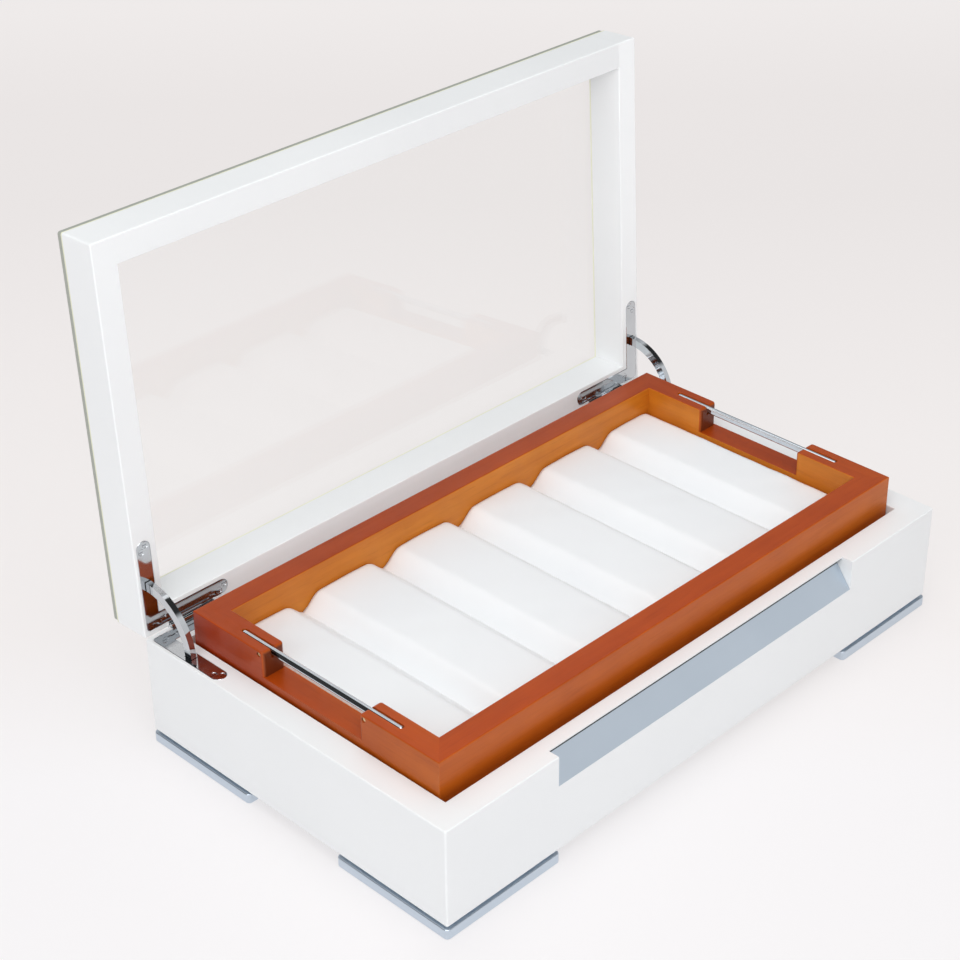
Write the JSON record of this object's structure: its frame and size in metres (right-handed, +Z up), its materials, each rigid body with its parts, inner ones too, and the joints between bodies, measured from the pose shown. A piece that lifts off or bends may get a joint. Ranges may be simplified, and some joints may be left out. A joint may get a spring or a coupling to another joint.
{
  "type": "pen collector chest",
  "caption": "Low white lacquered display chest with a glazed frame lid held by quadrant hinges, a lift-out wooden tray with a ridged pen cushion, a front grip notch and metal corner feet.",
  "frame": {"origin": "on the table, under the middle of the box that bounds the open chest", "axes": "+X to the chest's right seen from the front, along its length; +Y from the grip notch in the front to the hinges in the back; +Z up"},
  "size_m": [0.4012, 0.2664, 0.2947],
  "materials": {
    "white_lacquer": "satin white lacquer, slightly pebbled",
    "ledge_wood": "raw sanded",
    "panel_wood": "raw plywood",
    "tray_wood": "reddish brown wood under satin lacquer",
    "white_leather": "smooth satin over soft padding",
    "felt": "pale grey felt",
    "bright_metal": "fine satin with a cool tint",
    "hinge_chrome": "polished",
    "bar_chrome": "polished",
    "pin_brass": "polished",
    "plain_steel": "plain zinc plated",
    "clear_glass": "clear float glass with a grey-green edge"
  },
  "bodies": {
    "base": {"base_front_wall": "white_lacquer", "base_back_wall": "white_lacquer", "base_left_wall": "white_lacquer", "base_right_wall": "white_lacquer", "base_bottom_panel": "white_lacquer", "well_floor_liner": "felt", "left_tray_ledge": "ledge_wood", "right_tray_ledge": "ledge_wood", "front_tray_ledge": "ledge_wood", "back_tray_ledge": "ledge_wood", "grip_plate": "bright_metal", "front_left_foot": "bright_metal", "front_right_foot": "bright_metal", "back_left_foot": "bright_metal", "back_right_foot": "bright_metal", "foot_pads": "felt", "foot_screws": "plain_steel", "left_base_leaf": "hinge_chrome", "right_base_leaf": "hinge_chrome", "left_base_leaf_screws": "hinge_chrome", "right_base_leaf_screws": "hinge_chrome", "left_hinge_pin": "hinge_chrome", "right_hinge_pin": "hinge_chrome"},
    "lid": {"lid_front_rail": "white_lacquer", "lid_hinge_rail": "white_lacquer", "lid_left_stile": "white_lacquer", "lid_right_stile": "white_lacquer", "lid_glass": "clear_glass", "left_lid_leaf": "hinge_chrome", "right_lid_leaf": "hinge_chrome", "left_lid_leaf_screws": "hinge_chrome", "right_lid_leaf_screws": "hinge_chrome"},
    "left_stay_arm": {"left_stay": "hinge_chrome"},
    "right_stay_arm": {"right_stay": "hinge_chrome"},
    "tray": {"tray_front_rail": "tray_wood", "tray_back_rail": "tray_wood", "tray_left_rail": "tray_wood", "tray_right_rail": "tray_wood", "tray_bottom_panel": "panel_wood", "pen_cushion": "white_leather", "left_lifting_bar": "bar_chrome", "right_lifting_bar": "bar_chrome", "left_bar_pins": "pin_brass", "right_bar_pins": "pin_brass"}
  },
  "joints": [
    {"name": "lid_hinge", "type": "hinge", "parent": "base", "child": "lid", "pos_m": [0, 0.09437, 0.068], "axis": [-1, 0, 0], "range_deg": [-92.8, 0]},
    {"name": "left_stay_swing", "type": "hinge", "parent": "base", "child": "left_stay_arm", "pos_m": [0, 0.09437, 0.068], "axis": [-1, 0, 0], "range_deg": [-65, 0]},
    {"name": "right_stay_swing", "type": "hinge", "parent": "base", "child": "right_stay_arm", "pos_m": [0, 0.09437, 0.068], "axis": [-1, 0, 0], "range_deg": [-65, 0]},
    {"name": "tray_lift", "type": "slide", "parent": "base", "child": "tray", "axis": [0, 0, 1], "range_m": [0, 0.06]}
  ],
  "couplings": [
    {"joint": "left_stay_swing", "follows": "lid_hinge", "ratio": 0.6996},
    {"joint": "right_stay_swing", "follows": "lid_hinge", "ratio": 0.6996}
  ]
}
